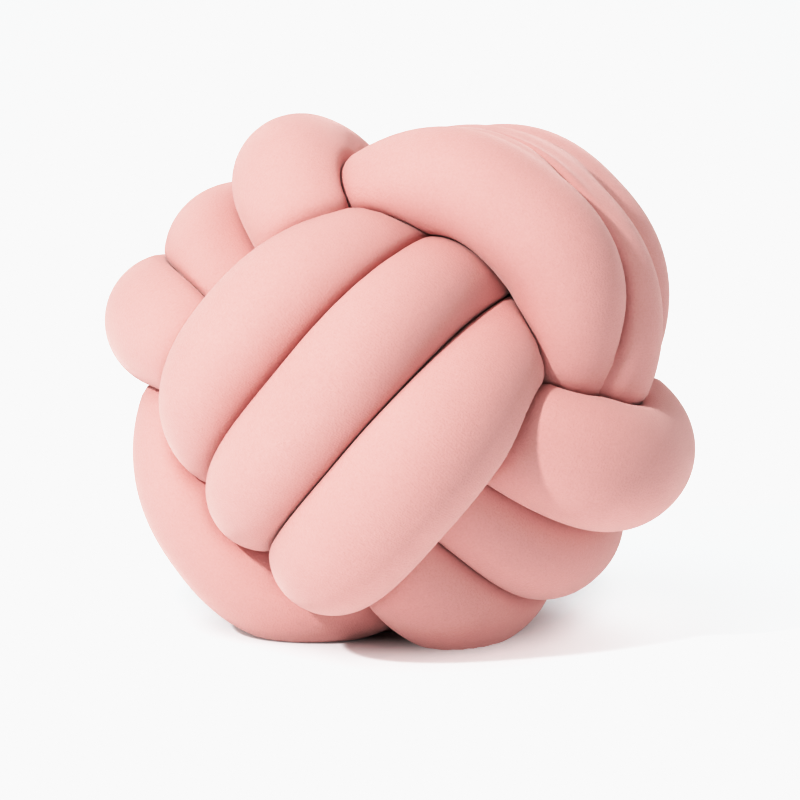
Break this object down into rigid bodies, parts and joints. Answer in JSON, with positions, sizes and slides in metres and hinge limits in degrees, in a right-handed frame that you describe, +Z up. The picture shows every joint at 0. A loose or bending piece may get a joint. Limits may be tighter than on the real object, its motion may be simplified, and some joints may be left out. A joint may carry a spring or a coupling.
{
  "type": "knot cushion",
  "caption": "Round sofa or floor cushion: a stuffed jersey tube wound over and under itself into a tight ball-shaped knot.",
  "frame": {"origin": "centre of the bounding box at the floor, under the ball", "axes": "+Z up, -Y out of the front that the picture shows, +X to the right seen from the front"},
  "size_m": [0.3042, 0.3022, 0.2685],
  "materials": {
    "jersey": "smooth matt cotton jersey, dusty pink, stretched over soft filling"
  },
  "bodies": {
    "root": {"knot_tube": "jersey"}
  },
  "joints": []
}
